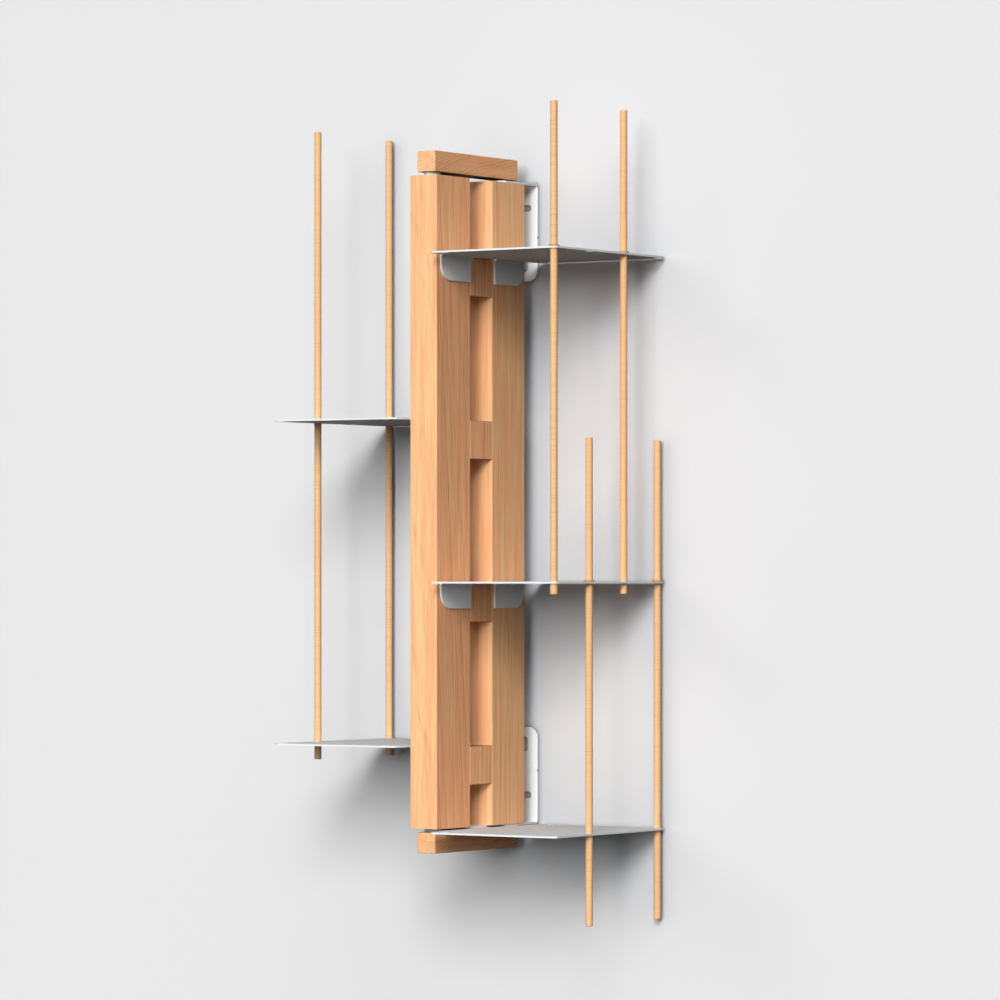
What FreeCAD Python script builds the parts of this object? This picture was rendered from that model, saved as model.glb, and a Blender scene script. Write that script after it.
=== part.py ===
import FreeCAD, Part
import Sketcher
import math
import os
import re

# Wall bookcase: a twin-upright wooden column on two wall brackets, with bent steel shelves
# hooked on either side and loose dowel rods that keep the books in.
# X runs along the wall, Y points into the wall, Z is up; millimetres.
# The origin is on the wall plane, midway between the two wall screws.

doc = FreeCAD.newDocument("wall_bookcase")
sizes = doc.addObject("Spreadsheet::Sheet", "Sizes")

DRIVING = [
    # the column
    ("upright_width", 35.5),
    ("upright_depth", 65),
    ("upright_height", 716.5),
    ("upright_gap", 43),
    ("wall_gap", 29.4),
    ("edge_break", 0.6),
    # the spacer blocks between the uprights
    ("block_height", 42.5),
    ("top_block_drop", 87.5),
    ("bottom_block_rise", 89),
    ("dowel_diameter", 8),
    ("dowel_bite", 15),
    ("dowel_clearance", 0.1),
    ("dowel_drop", 16),
    ("dowel_spacing", 16),
    # the bent sheet steel shelves
    ("sheet_thickness", 2),
    ("bend_radius", 3),
    ("shelf_width", 165.5),
    ("shelf_depth", 220.5),
    ("shelf_setback", 1.5),
    ("corner_inset", 6.3),
    ("inner_hole_inset", 17),
    ("tab_length", 58),
    ("tab_gap", 47),
    ("tab_drop", 27.5),
    ("tab_round", 18),
    ("hook_reach", 9),
    ("hook_width", 38),
    ("hook_drop", 7.5),
    ("hook_bend", 0.8),
    ("groove_clearance", 0.4),
    # the end caps and their screws
    ("cap_width", 24),
    ("cap_height", 23),
    ("cap_inset", 5.3),
    ("screw_shank", 5),
    ("screw_head", 10),
    ("screw_length", 62),
    ("screw_tip", 5),
    ("screw_clearance", 0.2),
    ("top_screw_setback", 17.5),
    ("spacer_diameter", 17.7),
    # the wall brackets
    ("bracket_thickness", 2),
    ("bracket_width", 34),
    ("bracket_drop", 107),
    ("bracket_round", 12),
    ("bracket_bend", 2),
    ("neck_width", 21.5),
    ("neck_setback", 17),
    ("flange_shoulder", 66.5),
    ("slot_width", 7.2),
    ("slot_length", 17),
    ("wall_slot_drop", 87.7),
    ("top_level_slot_drop", 24.5),
    ("bottom_level_slot_drop", 30.3),
    ("mark_drop", 58),
    ("mark_radius", 1.2),
    # the loose rods and their stop rings
    ("rod_diameter", 8),
    ("rod_hole_clearance", 0.6),
    ("rod_edge_break", 0.7),
    ("short_rod_rise", 156.4),
    ("short_rod_drop", 11.6),
    ("long_rod_rise", 325.6),
    ("long_rod_drop", 17.9),
    ("ring_thickness", 2),
    ("ring_clearance", 0.05),
]

for row, (alias, size) in enumerate(DRIVING, start=1):
    sizes.set("A%d" % row, alias.replace("_", " "))
    sizes.set("B%d" % row, str(size))
    sizes.setAlias("B%d" % row, alias)
doc.recompute()

# Positions worked out from the driving sizes
COLUMN_DEPTH = "(2 * upright_depth + upright_gap)"
COLUMN_FRONT = "(-wall_gap - 2 * upright_depth - upright_gap)"
COLUMN_MID = "(-wall_gap - upright_depth - upright_gap / 2)"
COLUMN_TOP = "(upright_height / 2)"
TOP_BLOCK = "(%s - top_block_drop)" % COLUMN_TOP
BLOCK_PITCH = "((upright_height - top_block_drop - bottom_block_rise) / 3)"
SHELF_MID = "(%s + shelf_setback)" % COLUMN_MID
SHELF_EDGE = "(sheet_thickness + bend_radius)"
END_STACK = "(bracket_thickness + sheet_thickness)"
TOP_SCREWS = ("(%s + top_screw_setback)" % COLUMN_FRONT, "(-wall_gap - top_screw_setback)")
BOTTOM_SCREWS = ("(%s + upright_depth / 2)" % COLUMN_FRONT, "(-wall_gap - upright_depth / 2)")
SCREW_HOLE = "(screw_shank + screw_clearance)"
DOWEL_HOLE = "(dowel_diameter + dowel_clearance)"
ROD_HOLE = "(rod_diameter + rod_hole_clearance)"
ROD_PITCH = "((shelf_depth - 2 * corner_inset) / 3)"
BAY_HEIGHT = "(2 * %s + sheet_thickness)" % BLOCK_PITCH
SHORT_ROD = "(short_rod_rise + %s + short_rod_drop)" % BAY_HEIGHT
LONG_ROD = "(long_rod_rise + %s + long_rod_drop)" % BAY_HEIGHT
BLOCK_COUNT = 4
DOWELS_PER_BLOCK = 2


def bound(text):
    return re.sub(r"[a-z_]+", lambda word: "Sizes." + word.group(0), text)


def number(text):
    return float(sizes.evalExpression(bound(text)))


def bind(thing, name, text):
    thing.setExpression(name, bound(text))


def place(thing, x="0", y="0", z="0", turned=None):
    if turned:
        axis, angle = turned
        thing.Placement = FreeCAD.Placement(FreeCAD.Vector(), FreeCAD.Rotation(axis, angle))
    for name, text in zip("xyz", (x, y, z)):
        bind(thing, "Placement.Base." + name, text)


def new_body(label):
    body = doc.addObject("PartDesign::Body", label)
    body.Label = label
    return body


def origin_feature(body, role):
    return [item for item in body.Origin.OriginFeatures if item.Role == role][0]


def sketch_on(body, plane, name, lift=None):
    sketch = body.newObject("Sketcher::SketchObject", body.Label + "_" + name)
    sketch.AttachmentSupport = (origin_feature(body, plane), "")
    sketch.MapMode = "FlatFace"
    if lift:
        bind(sketch, "AttachmentOffset.Base.z", lift)
    return sketch


def fix_point(sketch, geometry, end, x, y):
    # hold one end of a line or the centre of a circle at a bound place
    for kind, text in (("DistanceX", x), ("DistanceY", y)):
        rule = Sketcher.Constraint(kind, -1, 1, geometry, end, number(text))
        bind(sketch, "Constraints[%d]" % sketch.addConstraint(rule), text)


def quarter_arc(centre, start, stop):
    # a sketch keeps arcs counter-clockwise, so one that turns the other way is drawn from its end
    first, last = start - centre, stop - centre
    forward = first.cross(last).z > 0
    if not forward:
        first, last = last, first
    begin = math.atan2(first.y, first.x)
    turn = first.getAngle(last)
    ring = Part.Circle(centre, FreeCAD.Vector(0, 0, 1), first.Length)
    return Part.ArcOfCircle(ring, begin, begin + turn), forward


def outline(sketch, corners, arcs=None):
    # closed outline through the corners; arcs gives the centre of each edge that is a quarter bend
    arcs = arcs or {}
    spots = [FreeCAD.Vector(number(x), number(y), 0) for x, y in corners]
    ends = []
    for index, start in enumerate(spots):
        stop = spots[(index + 1) % len(spots)]
        if index in arcs:
            centre = FreeCAD.Vector(number(arcs[index][0]), number(arcs[index][1]), 0)
            shape, forward = quarter_arc(centre, start, stop)
        else:
            shape, forward = Part.LineSegment(start, stop), True
        edge = sketch.addGeometry(shape, False)
        ends.append((edge, 1, 2) if forward else (edge, 2, 1))
    for index, (edge, first, last) in enumerate(ends):
        following, joined, _ = ends[(index + 1) % len(ends)]
        sketch.addConstraint(Sketcher.Constraint("Coincident", edge, last, following, joined))
    for (edge, first, last), (x, y) in zip(ends, corners):
        fix_point(sketch, edge, first, x, y)
    for index, (x, y) in arcs.items():
        rule = Sketcher.Constraint("DistanceX", -1, 1, ends[index][0], 3, number(x))
        bind(sketch, "Constraints[%d]" % sketch.addConstraint(rule), x)


def box_outline(sketch, low_x, high_x, low_y, high_y):
    outline(sketch, [(low_x, low_y), (high_x, low_y), (high_x, high_y), (low_x, high_y)])


def circle(sketch, x, y, diameter):
    centre = FreeCAD.Vector(number(x), number(y), 0)
    edge = sketch.addGeometry(Part.Circle(centre, FreeCAD.Vector(0, 0, 1), number(diameter) / 2), False)
    fix_point(sketch, edge, 3, x, y)
    rule = Sketcher.Constraint("Diameter", edge, number(diameter))
    bind(sketch, "Constraints[%d]" % sketch.addConstraint(rule), diameter)


def slot(sketch, drop, upright):
    # round-ended slot centred on x = 0, standing up or lying level
    half = "(slot_length - slot_width) / 2"
    radius = number("slot_width") / 2
    reach = number(half)
    low = number("-" + drop)
    if upright:
        centres = [("0", "-%s + %s" % (drop, half)), ("0", "-%s - %s" % (drop, half))]
        heading = FreeCAD.Vector(0, 1, 0)
    else:
        centres = [(half, "-" + drop), ("-" + half, "-" + drop)]
        heading = FreeCAD.Vector(1, 0, 0)
    middle = FreeCAD.Vector(0, low, 0)
    across = FreeCAD.Vector(-heading.y, heading.x, 0) * radius
    far, near = middle + heading * reach, middle - heading * reach
    shapes = [
        Part.Arc(far - across, far + heading * radius, far + across),
        Part.LineSegment(far + across, near + across),
        Part.Arc(near + across, near - heading * radius, near - across),
        Part.LineSegment(near - across, far - across),
    ]
    first, upper, second, lower = [sketch.addGeometry(shape, False) for shape in shapes]
    for one, one_end, other, other_end in ((first, 2, upper, 1), (upper, 2, second, 1),
                                           (second, 2, lower, 1), (lower, 2, first, 1)):
        sketch.addConstraint(Sketcher.Constraint("Tangent", one, one_end, other, other_end))
    for edge, (x, y) in zip((first, second), centres):
        fix_point(sketch, edge, 3, x, y)
    sketch.addConstraint(Sketcher.Constraint("Equal", first, second))
    rule = Sketcher.Constraint("Radius", first, radius)
    bind(sketch, "Constraints[%d]" % sketch.addConstraint(rule), "slot_width / 2")


def pad(body, sketch, length):
    feature = body.newObject("PartDesign::Pad", sketch.Label + "_pad")
    feature.Profile = sketch
    bind(feature, "Length", length)
    doc.recompute()
    return feature


def pocket(body, sketch, depth, along_normal=False):
    before = body.Shape.Volume
    feature = body.newObject("PartDesign::Pocket", sketch.Label + "_pocket")
    feature.Profile = sketch
    feature.Reversed = along_normal
    bind(feature, "Length", depth)
    doc.recompute()
    if body.Shape.Volume >= before:
        raise RuntimeError(sketch.Label + " removes nothing")
    return feature


def revolve(body, corners):
    sketch = sketch_on(body, "XZ_Plane", "profile")
    outline(sketch, corners)
    feature = body.newObject("PartDesign::Revolution", body.Label + "_turned")
    feature.Profile = sketch
    feature.ReferenceAxis = (origin_feature(body, "Z_Axis"), [""])
    feature.Angle = 360
    doc.recompute()
    return feature


def edges_where(feature, test):
    return ["Edge%d" % index for index, edge in enumerate(feature.Shape.Edges, start=1) if test(edge)]


def runs_along(edge, axis):
    if not isinstance(edge.Curve, Part.Line):
        return False
    return abs(edge.Curve.Direction.dot(axis)) > 0.999


def dress(body, kind, base, edges, prop, text):
    if not edges:
        raise RuntimeError(body.Label + " has no edge to dress")
    feature = body.newObject("PartDesign::" + kind, body.Label + "_" + kind.lower())
    feature.Base = (base, edges)
    bind(feature, prop, text)
    doc.recompute()
    return feature


X_AXIS = FreeCAD.Vector(1, 0, 0)
Y_AXIS = FreeCAD.Vector(0, 1, 0)
Z_AXIS = FreeCAD.Vector(0, 0, 1)
UPSIDE_DOWN = (Y_AXIS, 180)
HALF_TURN = (Z_AXIS, 180)


def block_top(index):
    return "(%s - %d * %s)" % (TOP_BLOCK, index, BLOCK_PITCH)


def dowel_heights(index):
    top = block_top(index)
    return ["(%s - dowel_drop - %d * dowel_spacing)" % (top, n) for n in range(DOWELS_PER_BLOCK)]


def make_upright(label, seat, turned=None):
    # a planed post: its inner face, drilled for the block dowels, is the plane y = 0
    body = new_body(label)
    section = sketch_on(body, "XY_Plane", "section", "-upright_height / 2")
    box_outline(section, "-upright_width / 2", "upright_width / 2", "0", "upright_depth")
    post = pad(body, section, "upright_height")
    arrises = edges_where(post, lambda edge: runs_along(edge, Z_AXIS))
    dress(body, "Chamfer", post, arrises, "Size", "edge_break")
    holes = sketch_on(body, "XZ_Plane", "dowel_holes")
    for index in range(BLOCK_COUNT):
        for height in dowel_heights(index):
            circle(holes, "0", height, DOWEL_HOLE)
    pocket(body, holes, "dowel_bite")
    depth = "screw_length - cap_height - %s + screw_tip / 2" % END_STACK
    for end, lift, y, upward in (("top", COLUMN_TOP, "upright_depth - top_screw_setback", False),
                                 ("bottom", "-" + COLUMN_TOP, "upright_depth / 2", True)):
        pilot = sketch_on(body, "XY_Plane", end + "_pilot", lift)
        circle(pilot, "0", y, SCREW_HOLE)
        pocket(body, pilot, depth, along_normal=upward)
    place(body, y=seat, turned=turned)
    return body


def make_block(label, index):
    # spacer block, flush with the posts: two grooves across its top take the lips of a left and a right shelf
    body = new_body(label)
    side = "(upright_width / 2)"
    near = "(upright_width / 2 - hook_reach + sheet_thickness + hook_bend)"
    far = "(upright_width / 2 - hook_reach - groove_clearance)"
    floor = "(-hook_drop - groove_clearance)"
    half = [(side, "-block_height"), (side, "0"), (near, "0"), (near, floor), (far, floor), (far, "0")]
    mirrored = [("-" + x, z) for x, z in reversed(half)]
    profile = sketch_on(body, "XZ_Plane", "profile")
    outline(profile, half + mirrored)
    block = pad(body, profile, "upright_gap")
    face_at = number(side)
    rims = edges_where(block, lambda edge: abs(abs(edge.CenterOfMass.x) - face_at) < 1e-6)
    dress(body, "Chamfer", block, rims, "Size", "edge_break")
    holes = sketch_on(body, "XZ_Plane", "dowel_holes")
    for n in range(DOWELS_PER_BLOCK):
        circle(holes, "0", "-dowel_drop - %d * dowel_spacing" % n, DOWEL_HOLE)
    pocket(body, holes, "upright_gap", along_normal=True)
    place(body, y="-wall_gap - upright_depth", z=block_top(index))
    return body


def make_block_dowels(label):
    # long beech dowels run through each block into both uprights
    dowels = []
    for index in range(BLOCK_COUNT):
        for n, height in enumerate(dowel_heights(index)):
            dowel = doc.addObject("Part::Cylinder", "dowel_%d_%d" % (index + 1, n + 1))
            bind(dowel, "Radius", "dowel_diameter / 2")
            bind(dowel, "Height", "upright_gap + 2 * dowel_bite - 2 * dowel_clearance")
            place(dowel, y="-wall_gap - upright_depth + dowel_bite - dowel_clearance", z=height,
                  turned=(X_AXIS, 90))
            dowels.append(dowel)
    group = doc.addObject("Part::Compound", label)
    group.Links = dowels
    return group


def make_cap(label, z, screw_setback, turned=None):
    body = new_body(label)
    profile = sketch_on(body, "XZ_Plane", "profile")
    box_outline(profile, "-cap_width / 2", "cap_width / 2", "0", "cap_height")
    bar = pad(body, profile, COLUMN_DEPTH + " - 2 * cap_inset")
    every_edge = edges_where(bar, lambda edge: True)
    dress(body, "Chamfer", bar, every_edge, "Size", "edge_break")
    holes = sketch_on(body, "XY_Plane", "screw_holes")
    offset = "(%s - cap_inset)" % screw_setback
    for y in ("-" + offset, "-(%s - 2 * cap_inset - %s)" % (COLUMN_DEPTH, offset)):
        circle(holes, "0", y, SCREW_HOLE)
    bored = pocket(body, holes, "cap_height", along_normal=True)
    top = number("cap_height")
    mouths = edges_where(bored, lambda edge: isinstance(edge.Curve, Part.Circle)
                         and abs(edge.Curve.Center.z - top) < 1e-6)
    sink = dress(body, "Chamfer", bored, mouths, "Size", "(screw_head - screw_shank) / 2")
    sink.Label = label + "_countersink"
    place(body, y="-wall_gap - cap_inset", z=z, turned=turned)
    return body


def make_screws(label, z, spots, turned=None):
    # two countersunk screws hold the cap and what lies under it to the upright ends
    screws = []
    for name, y in zip(("front", "rear"), spots):
        screw = new_body("%s_%s" % (label, name))
        cone = "(screw_head - screw_shank) / 2"
        revolve(screw, [("0", "-screw_length"), ("screw_shank / 2", "-screw_length + screw_tip"),
                        ("screw_shank / 2", "-" + cone), ("screw_head / 2", "0"), ("0", "0")])
        place(screw, y=y, z=z, turned=turned)
        screws.append(screw)
    group = doc.addObject("Part::Compound", label)
    group.Links = screws
    return group


def make_spacer(label, y, z, thickness):
    # round washer that a cap screw passes through
    body = new_body(label)
    shape = sketch_on(body, "XY_Plane", "outline")
    circle(shape, "0", y, "spacer_diameter")
    circle(shape, "0", y, SCREW_HOLE)
    pad(body, shape, thickness)
    place(body, z=z)
    return body


def make_bracket(label, level_slot_drop, z, spots, neck_end=None, turned=None):
    # bent strip: a tapered flange over the column's end, with or without a neck that runs on to the
    # front, and a slotted plate against the wall
    body = new_body(label)
    half = "(bracket_width / 2)"
    neck = "(neck_width / 2)"
    bend = "(bracket_thickness + bracket_bend)"
    shoulder = "-flange_shoulder"
    waist = "(-flange_shoulder - (bracket_width - neck_width) / 2)"
    side = [(neck, waist), (half, shoulder), (half, "-" + bend)]
    if neck_end:
        side.insert(0, (neck, neck_end))
    flange = sketch_on(body, "XY_Plane", "flange")
    outline(flange, side + [("-" + x, y) for x, y in reversed(side)])
    for y in spots:
        circle(flange, "0", y, SCREW_HOLE)
    pad(body, flange, "bracket_thickness")
    corner = sketch_on(body, "YZ_Plane", "bend", "-" + half)
    centre = ("-" + bend, "-bracket_bend")
    outline(corner, [("-" + bend, "0"), ("-" + bend, "bracket_thickness"), ("0", "-bracket_bend"),
                     ("-bracket_thickness", "-bracket_bend")], {1: centre, 3: centre})
    pad(body, corner, "bracket_width")
    plate = sketch_on(body, "XZ_Plane", "plate")
    box_outline(plate, "-" + half, half, "-bracket_drop", "-bracket_bend")
    slot(plate, "wall_slot_drop", True)
    slot(plate, level_slot_drop, False)
    slotted = pad(body, plate, "bracket_thickness")
    low = -number("bracket_drop")
    corners = edges_where(slotted, lambda edge: runs_along(edge, Y_AXIS)
                          and abs(edge.Vertexes[0].Z - low) < 1e-6)
    dress(body, "Fillet", slotted, corners, "Radius", "bracket_round")
    marks = sketch_on(body, "XZ_Plane", "marks")
    for x in (half, "-" + half):
        circle(marks, x, "-mark_drop", "2 * mark_radius")
    pocket(body, marks, "bracket_thickness", along_normal=True)
    place(body, z=z, turned=turned)
    return body


def rod_holes(sketch):
    # four holes along the outer edge and one near each inner corner
    outer = "(%s + shelf_width - corner_inset)" % SHELF_EDGE
    for row in range(4):
        circle(sketch, outer, rod_row(row), ROD_HOLE)
    for row in (0, 3):
        circle(sketch, "(%s + inner_hole_inset)" % SHELF_EDGE, rod_row(row), ROD_HOLE)


def rod_row(row):
    return "(-shelf_depth / 2 + corner_inset + %d * %s)" % (row, ROD_PITCH)


def round_plate_corners(body, plate):
    inner = number(SHELF_EDGE)
    outer = number(SHELF_EDGE + " + shelf_width")
    ends = number("shelf_depth / 2")

    def at_corner(edge):
        spot = edge.Vertexes[0]
        across = abs(spot.X - inner) < 1e-6 or abs(spot.X - outer) < 1e-6
        return runs_along(edge, Z_AXIS) and across and abs(abs(spot.Y) - ends) < 1e-6
    dress(body, "Fillet", plate, edges_where(plate, at_corner), "Radius", "corner_inset")


def put_shelf(body, side, z):
    # the local frame has x = 0 on the column's side face, y = 0 at mid depth, z = 0 under the sheet
    if side == "right":
        place(body, x="upright_width / 2", y=SHELF_MID, z=z)
    else:
        place(body, x="-upright_width / 2", y=SHELF_MID, z=z, turned=HALF_TURN)


def make_hooked_shelf(label, side, block):
    body = new_body(label)
    sheet = sketch_on(body, "XY_Plane", "sheet")
    box_outline(sheet, SHELF_EDGE, SHELF_EDGE + " + shelf_width", "-shelf_depth / 2", "shelf_depth / 2")
    rod_holes(sheet)
    round_plate_corners(body, pad(body, sheet, "sheet_thickness"))
    # two tabs bent down flat against the upright sides
    centre = (SHELF_EDGE, "-bend_radius")
    flap = [(SHELF_EDGE, "0"), (SHELF_EDGE, "sheet_thickness"), ("0", "-bend_radius"), ("0", "-tab_drop"),
            ("sheet_thickness", "-tab_drop"), ("sheet_thickness", "-bend_radius")]
    for name, lift in (("front_tab", "tab_gap / 2"), ("rear_tab", "-tab_gap / 2 - tab_length")):
        tab = sketch_on(body, "XZ_Plane", name, lift)
        outline(tab, flap, {1: centre, 5: centre})
        bent = pad(body, tab, "tab_length")
    low = -number("tab_drop")
    tip = number("tab_gap / 2 + tab_length")
    corners = edges_where(bent, lambda edge: runs_along(edge, X_AXIS)
                          and abs(edge.Vertexes[0].Z - low) < 1e-6
                          and abs(abs(edge.Vertexes[0].Y) - tip) < 1e-6)
    dress(body, "Fillet", bent, corners, "Radius", "tab_round")
    # a tongue between the uprights rests on the block, with its lip down in the groove
    bend = "(-hook_reach + sheet_thickness + hook_bend)"
    centre = (bend, "-hook_bend")
    hook = sketch_on(body, "XZ_Plane", "hook", "-hook_width / 2")
    outline(hook, [(SHELF_EDGE, "0"), (SHELF_EDGE, "sheet_thickness"), (bend, "sheet_thickness"),
                   ("-hook_reach", "-hook_bend"), ("-hook_reach", "-hook_drop"),
                   ("-hook_reach + sheet_thickness", "-hook_drop"),
                   ("-hook_reach + sheet_thickness", "-hook_bend"), (bend, "0")], {2: centre, 6: centre})
    pad(body, hook, "hook_width")
    put_shelf(body, side, block_top(block))
    return body


def make_bottom_shelf(label):
    # flat sheet whose tongue is clamped under the column by the bottom cap
    body = new_body(label)
    sheet = sketch_on(body, "XY_Plane", "sheet")
    end = "(shelf_depth / 2)"
    outer = SHELF_EDGE + " + shelf_width"
    tongue = "(-upright_width / 2 - neck_width / 2)"
    front = "(-%s / 2 + neck_setback - shelf_setback)" % COLUMN_DEPTH
    rear = "(%s / 2 - neck_setback - shelf_setback)" % COLUMN_DEPTH
    outline(sheet, [(outer, "-" + end), (outer, end), (SHELF_EDGE, end), (SHELF_EDGE, rear), (tongue, rear),
                    (tongue, front), (SHELF_EDGE, front), (SHELF_EDGE, "-" + end)])
    rod_holes(sheet)
    for y in BOTTOM_SCREWS:
        circle(sheet, "-upright_width / 2", "%s - %s" % (y, SHELF_MID), SCREW_HOLE)
    round_plate_corners(body, pad(body, sheet, "sheet_thickness"))
    put_shelf(body, "right", "-upright_height / 2 - " + END_STACK)
    return body


def make_rod(label, side, row, shelf_top, length, rise):
    body = new_body(label)
    radius = "rod_diameter / 2"
    nose = radius + " - rod_edge_break"
    revolve(body, [("0", "0"), (nose, "0"), (radius, "rod_edge_break"),
                   (radius, length + " - rod_edge_break"), (nose, length), ("0", length)])
    place(body, x=rod_across(side), y="%s + %s" % (SHELF_MID, rod_row(row)),
          z="%s + %s - %s" % (shelf_top, rise, length))
    return body


def rod_across(side):
    sign = "" if side == "right" else "-"
    return sign + "(upright_width / 2 + %s + shelf_width - corner_inset)" % SHELF_EDGE


def make_ring(label, side, row, shelf_top):
    # rubber ring gripping the rod and resting on the shelf; eight flats make up its round section
    body = new_body(label)
    bore = "(rod_diameter / 2 + ring_clearance)"
    rim = "(%s + ring_thickness)" % bore
    flat_start = "(ring_thickness * 0.293)"
    flat_end = "(ring_thickness * 0.707)"
    revolve(body, [(bore, flat_start), ("%s + %s" % (bore, flat_start), "0"),
                   ("%s + %s" % (bore, flat_end), "0"), (rim, flat_start), (rim, flat_end),
                   ("%s + %s" % (bore, flat_end), "ring_thickness"),
                   ("%s + %s" % (bore, flat_start), "ring_thickness"), (bore, flat_end)])
    place(body, x=rod_across(side), y="%s + %s" % (SHELF_MID, rod_row(row)), z=shelf_top)
    return body


def shelf_top(block):
    return "(%s + sheet_thickness)" % block_top(block)


nodes = [
    make_upright("front_upright", "-wall_gap - upright_depth - upright_gap", HALF_TURN),
    make_upright("back_upright", "-wall_gap - upright_depth"),
]
for index in range(BLOCK_COUNT):
    nodes.append(make_block("spacer_block_%d" % (index + 1), index))
nodes.append(make_block_dowels("block_dowels"))

nodes += [
    make_bracket("top_wall_bracket", "top_level_slot_drop", COLUMN_TOP, TOP_SCREWS[1:]),
    make_bracket("bottom_wall_bracket", "bottom_level_slot_drop", "-" + COLUMN_TOP, BOTTOM_SCREWS,
                 "(%s + neck_setback)" % COLUMN_FRONT, UPSIDE_DOWN),
    make_spacer("top_front_spacer", TOP_SCREWS[0], COLUMN_TOP, END_STACK),
    make_spacer("top_rear_spacer", TOP_SCREWS[1], COLUMN_TOP + " + bracket_thickness", "sheet_thickness"),
    make_cap("top_cap", COLUMN_TOP + " + " + END_STACK, "top_screw_setback"),
    make_cap("bottom_cap", "-%s - %s" % (COLUMN_TOP, END_STACK), "upright_depth / 2", UPSIDE_DOWN),
    make_screws("top_cap_screws", "%s + %s + cap_height" % (COLUMN_TOP, END_STACK), TOP_SCREWS),
    make_screws("bottom_cap_screws", "-%s - %s - cap_height" % (COLUMN_TOP, END_STACK), BOTTOM_SCREWS,
                UPSIDE_DOWN),
]

# blocks count from the top: the right shelves hook on the first and third, the left on the others
SHELVES = [
    ("shelf_right_upper", "right", 0),
    ("shelf_left_upper", "left", 1),
    ("shelf_right_middle", "right", 2),
    ("shelf_left_lower", "left", 3),
]
for label, side, block in SHELVES:
    nodes.append(make_hooked_shelf(label, side, block))
nodes.append(make_bottom_shelf("shelf_right_bottom"))

# each pair of rods hangs by its rings from one shelf and passes through the shelf below
RODS = [
    ("right_upper", "right", 0, (0, 2), SHORT_ROD, "short_rod_rise"),
    ("right_lower", "right", 2, (1, 3), SHORT_ROD, "short_rod_rise"),
    ("left", "left", 1, (1, 3), LONG_ROD, "long_rod_rise"),
]
for name, side, block, rows, length, rise in RODS:
    for end, row in zip(("front", "rear"), rows):
        nodes.append(make_rod("rod_%s_%s" % (name, end), side, row, shelf_top(block), length, rise))
        nodes.append(make_ring("ring_%s_%s" % (name, end), side, row, shelf_top(block)))

doc.recompute()
for thing in doc.Objects:
    if "Invalid" in thing.State or "Error" in thing.State:
        raise RuntimeError("%s failed: %s" % (thing.Label, thing.State))
for node in nodes:
    if node.Shape.isNull() or not node.Shape.isValid():
        raise RuntimeError(node.Label + " has no valid shape")

os.makedirs("parts", exist_ok=True)
for node in nodes:
    node.Shape.exportStep("parts/%s.step" % node.Label)
print(len(nodes), "nodes written")
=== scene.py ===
import bpy
import math
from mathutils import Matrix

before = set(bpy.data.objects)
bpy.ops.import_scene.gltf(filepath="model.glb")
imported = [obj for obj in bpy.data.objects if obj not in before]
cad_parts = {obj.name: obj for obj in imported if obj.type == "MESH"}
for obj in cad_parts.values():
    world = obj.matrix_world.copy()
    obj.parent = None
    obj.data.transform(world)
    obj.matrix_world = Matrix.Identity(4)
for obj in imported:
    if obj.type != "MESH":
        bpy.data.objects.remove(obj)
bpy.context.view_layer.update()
scene = bpy.context.scene
scene.view_settings.view_transform = "Standard"
print("frame loaded:", len(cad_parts), "nodes")


class Wire:
    # a node socket that can be used in sums
    def __init__(self, tree, socket=None):
        self.tree = tree
        self.socket = socket

    def node(self, kind, settings=None, inputs=None, out=0):
        made = self.tree.nodes.new(kind)
        for name, value in (settings or {}).items():
            if name == "stops":
                ramp = made.color_ramp
                while len(ramp.elements) < len(value):
                    ramp.elements.new(0.5)
                for stop, (place, colour) in zip(ramp.elements, value):
                    stop.position = place
                    stop.color = colour
            else:
                setattr(made, name, value)
        for name, value in (inputs or {}).items():
            if isinstance(value, Wire):
                self.tree.links.new(value.socket, made.inputs[name])
            else:
                made.inputs[name].default_value = value
        return Wire(self.tree, made.outputs[out] if len(made.outputs) else None)

    def outputs(self, *names):
        # several outputs of this wire's own node
        return [Wire(self.tree, self.socket.node.outputs[name]) for name in names]

    def maths(self, operation, first, second=0.0):
        return self.node("ShaderNodeMath", {"operation": operation}, {0: first, 1: second})

    def __add__(self, other):
        return self.maths("ADD", self, other)

    def __radd__(self, other):
        return self.maths("ADD", other, self)

    def __sub__(self, other):
        return self.maths("SUBTRACT", self, other)

    def __rsub__(self, other):
        return self.maths("SUBTRACT", other, self)

    def __mul__(self, other):
        return self.maths("MULTIPLY", self, other)

    def __rmul__(self, other):
        return self.maths("MULTIPLY", other, self)

    def __truediv__(self, other):
        return self.maths("DIVIDE", self, other)

    def __rtruediv__(self, other):
        return self.maths("DIVIDE", other, self)


def fromSrgb(red, green, blue):
    # screen values 0 to 255 as a linear colour
    def linear(value):
        value = value / 255
        return value / 12.92 if value <= 0.04045 else ((value + 0.055) / 1.055) ** 2.4
    return (linear(red), linear(green), linear(blue), 1.0)


def grey(value):
    return (value, value, value, 1.0)


def newMaterial(name):
    material = bpy.data.materials.new(name)
    material.use_nodes = True
    material.node_tree.nodes.clear()
    return material, Wire(material.node_tree)


def finishMaterial(start, inputs):
    # a shader with these sockets, put on the material's output
    shader = start.node("ShaderNodeBsdfPrincipled", None, inputs)
    start.node("ShaderNodeOutputMaterial", None, {"Surface": shader})


def blendColour(start, factor, first, second):
    # plain colour mix
    return start.node("ShaderNodeMix", {"data_type": "RGBA"}, {0: factor, 6: first, 7: second}, 2)


def softStep(start, value, low, high):
    return start.node("ShaderNodeMapRange", {"interpolation_type": "SMOOTHSTEP"},
                      {"Value": value, "From Min": low, "From Max": high})


def coordinates(start, kind):
    # X, Y and Z of the place on the object, or of the way its surface faces
    spot = start.node("ShaderNodeTexCoord", None, None, kind)
    split = start.node("ShaderNodeSeparateXYZ", None, {"Vector": spot})
    return dict(zip("XYZ", split.outputs("X", "Y", "Z")))


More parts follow.
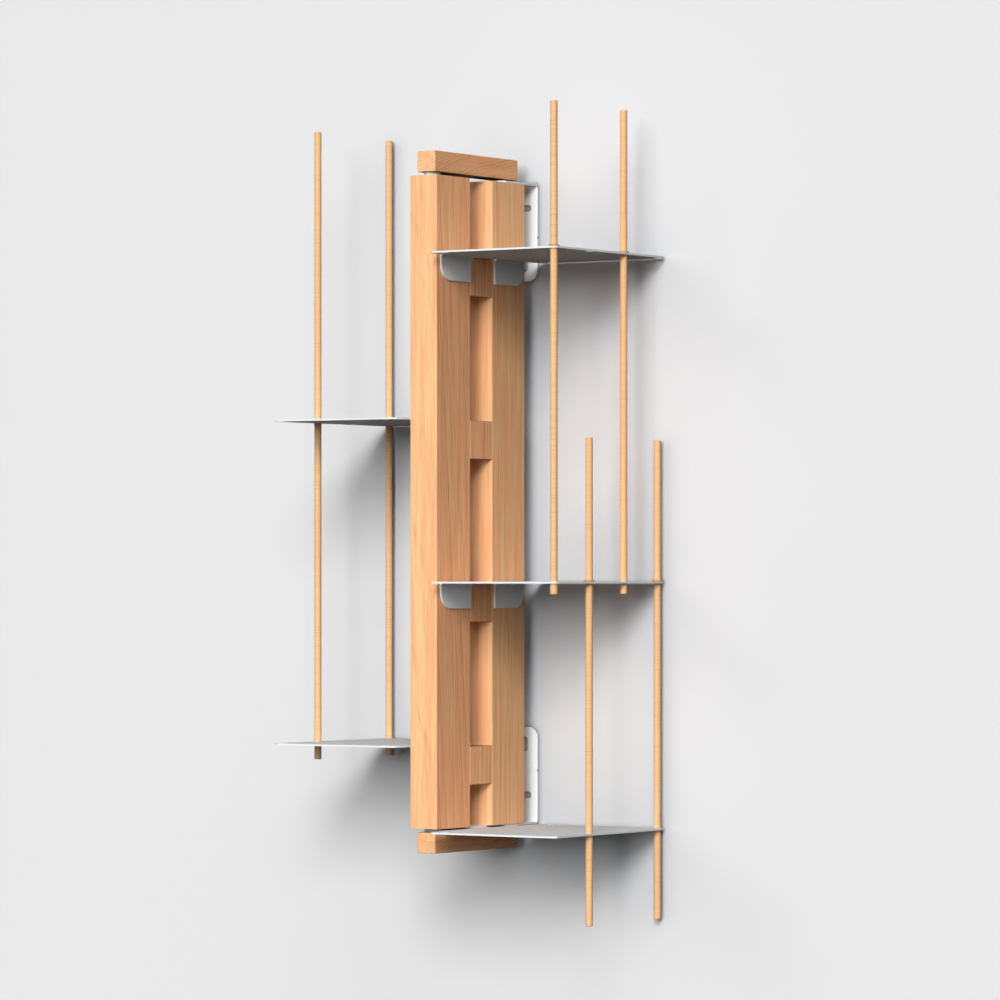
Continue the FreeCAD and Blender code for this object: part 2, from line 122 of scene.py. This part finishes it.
def noiseAt(start, x, y, z, detail, rough=0.5):
    place = start.node("ShaderNodeCombineXYZ", None, {"X": x, "Y": y, "Z": z})
    return start.node("ShaderNodeTexNoise", None,
                      {"Vector": place, "Scale": 1.0, "Detail": detail, "Roughness": rough})


def noiseOver(start, waves, detail):
    # the same noise all round, in waves per metre
    spot = start.node("ShaderNodeTexCoord", None, None, "Object")
    return start.node("ShaderNodeTexNoise", None, {"Vector": spot, "Scale": waves, "Detail": detail})


def nookAt(start, size):
    # 1 on open ground, less the more of it is covered within this distance
    return start.node("ShaderNodeAmbientOcclusion", {"samples": 8}, {"Distance": size}, "AO")


def bumpOf(start, height, look):
    return start.node("ShaderNodeBump", None, {"Height": height, "Strength": look["bumpStrength"],
                                               "Distance": look["bumpDepth"]})


def dress(material, *nodes):
    for node in nodes:
        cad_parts[node].material_slots[0].material = material


# layers of the wood's grain: waves per metre, and how much of a board's shift moves each layer's x, y and z
grainLook = {
    "wander": {"across": 9, "along": 2.2, "shift": (1, 0, 1), "detail": 2.0, "rough": 0.5},
    "ripple": {"across": 70, "along": 26, "shift": (1, 0, 0), "detail": 3.0, "rough": 0.5},
    "fibre": {"across": 800, "along": 20, "shift": (1, 0, 0), "detail": 3.0, "rough": 0.65},
    "streak": {"across": 330, "along": 11, "shift": (3, 0, 0), "detail": 2.0, "rough": 0.5},
    "hue": {"across": 200, "along": 7, "shift": (2, 0, 0), "detail": 2.0, "rough": 0.5,
            "edge": (0.40, 0.60)},
    "pores": {"across": 2600, "along": 90, "shift": (0, 1, 0), "detail": 1.0, "rough": 0.5,
              "edge": (0.60, 0.72)},
    "cross": {"across": 12, "along": 900, "shift": (0, 0, 1), "detail": 2.0, "rough": 0.7,
              "edge": (0.50, 0.68)},
}
# good and lean years, and how one year goes from early to late wood
yearLook = {
    "waves": 95, "spread": 2.2, "faint": 0.35, "edge": (0.35, 0.65),
    "stops": [(0.0, grey(0.0)), (0.40, grey(0.10)), (0.84, grey(1.0)), (1.0, grey(0.05))],
}
lacquerLook = {
    "baseTone": 0.30, "middleTone": 0.45, "seatShadeEdge": (0.6, 0.9),
    "rough": 0.50, "fibreRough": 0.14, "lateSmooth": 0.06,
    "fibreHeight": 0.5, "lateHeight": 0.35, "poreDepth": 0.6, "bumpStrength": 0.35, "bumpDepth": 0.0002,
}


def woodMaterial(look):
    material, start = newMaterial(look["name"])
    axes = coordinates(start, "Object")
    along = axes.pop(look["along"])
    across, through = axes.values()

    def grain(layer):
        wave = grainLook[layer]
        shiftX, shiftY, shiftZ = [look["shift"] * share for share in wave["shift"]]
        noise = noiseAt(start, across * wave["across"] + shiftX, through * wave["across"] + shiftY,
                        along * wave["along"] + shiftZ, wave["detail"], wave["rough"])
        return softStep(start, noise, *wave["edge"]) if "edge" in wave else noise

    # year rings: distance from the heart of the tree, which leans, bows and wanders along the board
    sideways = across - look["heart"][0] - along * look["lean"][0]
    inward = through - look["heart"][1] - along * look["lean"][1] - along * along * look["bow"]
    reach = start.maths("SQRT", sideways * sideways + inward * inward)
    reach = reach + (grain("wander") - 0.5) * look["wander"] + (grain("ripple") - 0.5) * look["ripple"]
    season = noiseAt(start, reach * yearLook["waves"] + look["shift"], 0.0, 0.0, 1.0)
    year = (reach + (season - 0.5) * look["ringGap"] * yearLook["spread"]) / look["ringGap"]
    year = start.maths("FRACT", year)
    late = start.node("ShaderNodeValToRGB", {"stops": yearLook["stops"]}, {"Fac": year})

    # the sides are sawn across the rings and show them more than the front does
    facing = coordinates(start, "Normal")
    side = facing["X"] * facing["X"]
    end = facing[look["along"]] * facing[look["along"]]
    strength = yearLook["faint"] + softStep(start, season, *yearLook["edge"]) * (1 - yearLook["faint"])
    late = late * strength * (look["frontRings"] + side * (1 - look["frontRings"]))

    # fibres: fine streaks drawn out along the grain, longer tan and rosy streaks, dark flecks
    fibre, pores = grain("fibre"), grain("pores")
    # painted shade: the sides, and the back post's front face in the recess, get more of the rosier, darker
    # palette
    hue = grain("hue") * look["hueDepth"] + look["frontShadeHue"] * (1 - side) + side * look["sideShadeHue"]
    tone = late * look["ringDepth"] + (fibre - 0.5) * look["fibreDepth"]
    tone = tone + (grain("streak") - 0.5) * look["streakDepth"] + lacquerLook["baseTone"]
    tone = start.node("ShaderNodeClamp", None, {"Value": tone})
    middle = lacquerLook["middleTone"]
    tan = start.node("ShaderNodeValToRGB", {"stops": [
        (0.0, look["pale"]), (middle, look["middle"]), (1.0, look["dark"])]}, {"Fac": tone})
    rosy = start.node("ShaderNodeValToRGB", {"stops": [
        (0.0, look["rosyPale"]), (middle, look["rosy"]), (1.0, look["dark"])]}, {"Fac": tone})
    colour = blendColour(start, hue, tan, rosy)
    colour = blendColour(start, pores * look["poreDepth"], colour, look["dark"])

    rough = lacquerLook["rough"] + fibre * lacquerLook["fibreRough"] - late * lacquerLook["lateSmooth"]
    if look["seat"]:
        # painted shade: the face towards the column is left raw and rough, and darkened to near black for
        # the thin slit there
        seatShadeMask = softStep(start, facing["Z"] * look["seat"], *lacquerLook["seatShadeEdge"])
        colour = blendColour(start, seatShadeMask, colour, look["endGrainAndShade"])
        rough = rough + seatShadeMask * (1 - rough)
    if look["endDepth"]:
        # sawn ends drink up the lacquer and are darker, and are darkened further as painted shade for the
        # thin slits at the ends
        colour = blendColour(start, end * look["endDepth"], colour, look["endGrainAndShade"])
    if look["crossDepth"]:
        # faint lines round the stick
        colour = blendColour(start, grain("cross") * look["crossDepth"], colour, look["dark"])

    height = fibre * lacquerLook["fibreHeight"] + late * lacquerLook["lateHeight"]
    height = height - pores * lacquerLook["poreDepth"]
    finishMaterial(start, {"Base Color": colour, "Roughness": rough, "Specular IOR Level": look["gloss"],
                           "Normal": bumpOf(start, height, lacquerLook)})
    return material


# the column's two posts, each sawn from its own plank
uprightWood = {
    "along": "Z", "ringGap": 0.0036, "wander": 0.006, "ripple": 0.0008, "bow": 0.0,
    "ringDepth": 0.56, "frontRings": 0.25, "fibreDepth": 0.95, "streakDepth": 0.80,
    "poreDepth": 0.12, "crossDepth": 0.0, "endDepth": 0.85, "seat": 0.0, "gloss": 0.25,
    "hueDepth": 0.7, "frontShadeHue": 0.0, "sideShadeHue": 0.45,
    "pale": fromSrgb(255, 215, 159), "middle": fromSrgb(254, 203, 147), "dark": fromSrgb(210, 138, 88),
    "rosyPale": fromSrgb(255, 194, 145), "rosy": fromSrgb(254, 180, 130), "endGrainAndShade": fromSrgb(84, 54, 36),
}
uprightLook = {
    "front_upright": {"heart": (-0.050, -0.420), "lean": (0.002, -0.085), "shift": 3.1, "sideShadeHue": 0.50},
    "back_upright": {"heart": (-0.060, 0.160), "lean": (0.003, -0.010), "shift": 11.7,
                     "frontShadeHue": 0.45, "sideShadeHue": 0.15, "ringDepth": 0.36},
}
for node, plank in uprightLook.items():
    dress(woodMaterial({"name": node + "_wood", **uprightWood, **plank}), node)
print("uprights grained")

# short blocks cut from the same wood, grain upright
blockWood = {**uprightWood, "ringGap": 0.0030}
blockLook = {
    "spacer_block_1": {"heart": (0.080, -0.160), "lean": (0.02, 0.03), "shift": 21.3},
    "spacer_block_2": {"heart": (-0.070, -0.060), "lean": (-0.03, 0.02), "shift": 27.9},
    "spacer_block_3": {"heart": (0.060, -0.050), "lean": (0.01, -0.04), "shift": 33.5},
    "spacer_block_4": {"heart": (0.090, -0.150), "lean": (-0.02, 0.03), "shift": 41.1},
}
for node, offcut in blockLook.items():
    dress(woodMaterial({"name": node + "_wood", **blockWood, **offcut}), node)
print("blocks grained")

# bars across the column's ends, grain from front to back, rings that bow along the bar
capWood = {
    **uprightWood, "along": "Y", "ringGap": 0.0034, "wander": 0.018, "ripple": 0.0055,
    "ringDepth": 0.58, "frontRings": 0.70, "streakDepth": 0.40, "fibreDepth": 0.80, "endDepth": 0.0,
    # painted shade: near-black colour for the cap face towards the column
    "endGrainAndShade": fromSrgb(34, 24, 18),
}
capLook = {
    # the top cap's underside and the bottom cap's top face get the painted near-black shade
    "top_cap": {"heart": (0.100, 0.120), "lean": (0.02, 0.12), "bow": -0.60, "seat": -1.0,
                "shift": 51.7},
    "bottom_cap": {"heart": (-0.090, -0.860), "lean": (-0.02, 0.10), "bow": -0.50, "seat": 1.0,
                   "shift": 63.2},
}
for node, bar in capLook.items():
    dress(woodMaterial({"name": node + "_wood", **capWood, **bar}), node)
print("caps grained")

# loose dowel rods, and the dowels inside the column
rodWood = {
    "along": "Z", "ringGap": 0.0021, "wander": 0.008, "ripple": 0.0008, "bow": 0.0,
    "heart": (0.0, 0.05), "lean": (0.0, 0.004),
    "ringDepth": 0.16, "frontRings": 1.0, "fibreDepth": 0.40, "streakDepth": 0.30,
    "poreDepth": 0.10, "crossDepth": 0.30, "endDepth": 0.0, "seat": 0.0, "gloss": 0.10,
    "hueDepth": 0.6, "frontShadeHue": 0.0, "sideShadeHue": 0.0,
    "pale": fromSrgb(254, 211, 156), "middle": fromSrgb(251, 200, 143), "dark": fromSrgb(206, 140, 92),
    "rosyPale": fromSrgb(253, 199, 148), "rosy": fromSrgb(251, 189, 137),
}
rodLook = {
    "rod_right_upper_front": {"shift": 2.3}, "rod_right_upper_rear": {"shift": 6.1},
    "rod_right_lower_front": {"shift": 9.8}, "rod_right_lower_rear": {"shift": 14.4},
    "rod_left_front": {"shift": 18.7}, "rod_left_rear": {"shift": 23.6},
    "block_dowels": {"shift": 31.0, "along": "Y"},
}
for node, stick in rodLook.items():
    dress(woodMaterial({"name": node + "_wood", **rodWood, **stick}), node)
print("rods grained")

# sheet steel with a pale, finely textured powder coat
coatLook = {
    "colour": fromSrgb(247, 252, 254), "deep": fromSrgb(233, 239, 242),
    # painted shade: greyer colour for undersides
    "under": fromSrgb(200, 207, 212), "underEdge": (0.50, 0.95),
    # painted shade: near-black colour deep in joints, and how far the darkening reaches
    "jointShade": fromSrgb(40, 41, 43), "nookSize": 0.006, "nookEdge": (0.10, 0.60),
    "speckle": 1700, "pebble": 700, "cloud": 14,
    "fleckEdge": (0.46, 0.66), "fleckDepth": 0.55, "cloudDepth": 0.35,
    "rough": 0.58, "fleckRough": 0.12, "pebbleRough": 0.10, "gloss": 0.06,
    "pebbleHeight": 0.7, "speckleHeight": 0.3, "bumpStrength": 0.25, "bumpDepth": 0.0002,
}
coatedNodes = [
    "shelf_right_upper", "shelf_right_middle", "shelf_right_bottom", "shelf_left_upper", "shelf_left_lower",
    "top_wall_bracket", "bottom_wall_bracket", "top_front_spacer", "top_rear_spacer",
]


def coatMaterial(name, look):
    material, start = newMaterial(name)
    speckle = noiseOver(start, look["speckle"], 2.0)
    pebble = noiseOver(start, look["pebble"], 3.0)
    cloud = noiseOver(start, look["cloud"], 2.0)
    fleck = softStep(start, speckle, *look["fleckEdge"])
    mottle = fleck * look["fleckDepth"] + (cloud - 0.5) * look["cloudDepth"]
    colour = blendColour(start, mottle, look["colour"], look["deep"])
    # painted shade: undersides are greyer, as they lie in shade
    facing = coordinates(start, "Normal")
    colour = blendColour(start, softStep(start, 0 - facing["Z"], *look["underEdge"]), colour, look["under"])
    # painted shade: deep in a joint the coat is darkened to near black, but not where it lies on the wall
    unshaded = start.maths("MAXIMUM", nookAt(start, look["nookSize"]), facing["Y"])
    colour = blendColour(start, softStep(start, unshaded, *look["nookEdge"]), look["jointShade"], colour)
    height = pebble * look["pebbleHeight"] + speckle * look["speckleHeight"]
    rough = look["rough"] + fleck * look["fleckRough"] + (pebble - 0.5) * look["pebbleRough"]
    finishMaterial(start, {"Base Color": colour, "Roughness": rough, "Specular IOR Level": look["gloss"],
                           "Normal": bumpOf(start, height, look)})
    return material


dress(coatMaterial("powder_coat", coatLook), *coatedNodes)
print("sheet steel coated")

# tan rubber rings that hold the rods up
ringLook = {
    "colour": fromSrgb(224, 160, 106), "deep": fromSrgb(196, 130, 80), "mottle": 420, "grain": 3200,
    "rough": 0.42, "grainRough": 0.16, "bumpStrength": 0.2, "bumpDepth": 0.0001,
}
ringNodes = [
    "ring_right_upper_front", "ring_right_upper_rear", "ring_right_lower_front", "ring_right_lower_rear",
    "ring_left_front", "ring_left_rear",
]


def ringMaterial(name, look):
    material, start = newMaterial(name)
    grain = noiseOver(start, look["grain"], 2.0)
    colour = blendColour(start, noiseOver(start, look["mottle"], 3.0), look["colour"], look["deep"])
    finishMaterial(start, {"Base Color": colour, "Roughness": look["rough"] + grain * look["grainRough"],
                           "Normal": bumpOf(start, grain, look)})
    return material


dress(ringMaterial("ring_rubber", ringLook), *ringNodes)
print("rings coloured")

# zinc plated screws, turned heads
screwLook = {
    "colour": fromSrgb(196, 197, 200), "deep": fromSrgb(150, 151, 156), "plating": 900, "turning": 4200,
    "rough": 0.28, "platingRough": 0.20, "bumpStrength": 0.15, "bumpDepth": 0.0001,
}


def screwMaterial(name, look):
    material, start = newMaterial(name)
    plating = noiseOver(start, look["plating"], 3.0)
    turning = noiseOver(start, look["turning"], 1.0)
    colour = blendColour(start, plating, look["colour"], look["deep"])
    finishMaterial(start, {"Base Color": colour, "Metallic": 1.0,
                           "Roughness": look["rough"] + plating * look["platingRough"],
                           "Normal": bumpOf(start, turning, look)})
    return material


dress(screwMaterial("screw_zinc", screwLook), "top_cap_screws", "bottom_cap_screws")
print("screws plated")

# the wall it hangs on and a floor well below; both are pale and give back little light
stageLook = {
    "wallColour": fromSrgb(236, 236, 237), "wallBack": 0.0004,
    "floorColour": fromSrgb(232, 232, 233), "floorGlow": 0.6, "floorLevel": -1.15,
    # painted shade in the corners: reach in metres and colour
    "corners": [(0.12, fromSrgb(170, 178, 186)), (0.006, fromSrgb(40, 41, 43))],
    "bounce": 0.03, "reach": 6.0,
}


def lightPath(start, *kinds):
    return start.node("ShaderNodeLightPath").outputs(*kinds)


def seenRays(start):
    # what the eye meets, also in a reflection or through glass
    camera, glossy, through = lightPath(start, "Is Camera Ray", "Is Glossy Ray", "Is Transmission Ray")
    return start.node("ShaderNodeClamp", None, {"Value": camera + glossy + through})


def stageMaterial(name, colour, glow=0.0):
    material, start = newMaterial(name)
    # painted shade: the paint is greyer in the corners beside the shelves, and near black right at the
    # contacts
    for size, shade in stageLook["corners"]:
        colour = blendColour(start, nookAt(start, size), shade, colour)
    pale = start.node("ShaderNodeBsdfDiffuse", None, {"Color": colour})
    if glow:
        shine = start.node("ShaderNodeEmission", None, {"Color": colour, "Strength": 1.0})
        pale = start.node("ShaderNodeMixShader", None, {0: glow, 1: pale, 2: shine})
    dull = start.node("ShaderNodeBsdfDiffuse", None, {"Color": grey(stageLook["bounce"])})
    surface = start.node("ShaderNodeMixShader", None, {0: seenRays(start), 1: dull, 2: pale})
    # clear from the far side, to the eye and to the lamp there, so that back and underside can be looked at
    behind = start.node("ShaderNodeNewGeometry", None, None, "Backfacing")
    shadow, passed = lightPath(start, "Is Shadow Ray", "Transparent Depth")
    behind = start.maths("MAXIMUM", behind, shadow * start.maths("GREATER_THAN", passed, 0.5))
    clear = start.node("ShaderNodeBsdfTransparent")
    surface = start.node("ShaderNodeMixShader", None, {0: behind, 1: surface, 2: clear})
    start.node("ShaderNodeOutputMaterial", None, {"Surface": surface})
    return material


def stagePlane(name, corners, material):
    mesh = bpy.data.meshes.new(name)
    mesh.from_pydata(corners, [], [(0, 1, 2, 3)])
    mesh.materials.append(material)
    plane = bpy.data.objects.new(name, mesh)
    scene.collection.objects.link(plane)


reach, back, low = stageLook["reach"], stageLook["wallBack"], stageLook["floorLevel"]
stagePlane("wall", [(-reach, back, low), (reach, back, low), (reach, back, reach), (-reach, back, reach)],
           stageMaterial("wall_paint", stageLook["wallColour"]))
stagePlane("floor", [(-reach, -reach, low), (reach, -reach, low), (reach, reach, low), (-reach, reach, low)],
           stageMaterial("floor_paint", stageLook["floorColour"], stageLook["floorGlow"]))
print("stage set")

# soft lamps far off: degrees to the right of straight ahead, degrees above level, degrees across
lightLook = {
    "key": {"turn": 30, "rise": 25, "across": 20, "power": 1.53},
    "level": {"turn": 15, "rise": 11, "across": 20, "power": 1.22},
    "low": {"turn": 20, "rise": 3, "across": 10, "power": 0.36},
    "high": {"turn": 20, "rise": 45, "across": 40, "power": 0.18},
    "steep": {"turn": 50, "rise": 65, "across": 30, "power": 0.25},
    "left": {"turn": -40, "rise": 25, "across": 20, "power": 0.23},
    "behind": {"turn": 180, "rise": 10, "across": 30, "power": 2.50},
}
for name, lamp in lightLook.items():
    light = bpy.data.lights.new(name + "Light", "SUN")
    light.angle = math.radians(lamp["across"])
    light.energy = lamp["power"]
    holder = bpy.data.objects.new(name + "Light", light)
    holder.rotation_euler = (math.radians(90 - lamp["rise"]), 0.0, math.radians(lamp["turn"]))
    scene.collection.objects.link(holder)

# a dim room that looks pale
roomLook = {"dim": 0.005, "seen": 0.86}
world = bpy.data.worlds.new("room")
world.use_nodes = True
world.node_tree.nodes.clear()
room = Wire(world.node_tree)
dim = room.node("ShaderNodeBackground", None, {"Color": grey(roomLook["dim"]), "Strength": 1.0})
seen = room.node("ShaderNodeBackground", None, {"Color": grey(roomLook["seen"]), "Strength": 1.0})
background = room.node("ShaderNodeMixShader", None, {0: seenRays(room), 1: dim, 2: seen})
room.node("ShaderNodeOutputWorld", None, {"Surface": background})
scene.world = world
print("lights placed")

# level camera to the right of the bookcase, long lens
cameraLook = {
    "place": (3.13429, -4.68720, -0.08116), "turn": 34.069,
    "sensor": 36.0, "lens": 179.775, "shiftY": 0.07607, "farthest": 60.0,
}
cameraData = bpy.data.cameras.new("camera")
cameraData.sensor_width = cameraLook["sensor"]
cameraData.lens = cameraLook["lens"]
cameraData.shift_y = cameraLook["shiftY"]
cameraData.clip_end = cameraLook["farthest"]
camera = bpy.data.objects.new("camera", cameraData)
camera.location = cameraLook["place"]
camera.rotation_euler = (math.radians(90), 0.0, math.radians(cameraLook["turn"]))
scene.collection.objects.link(camera)
scene.camera = camera
print("camera set")
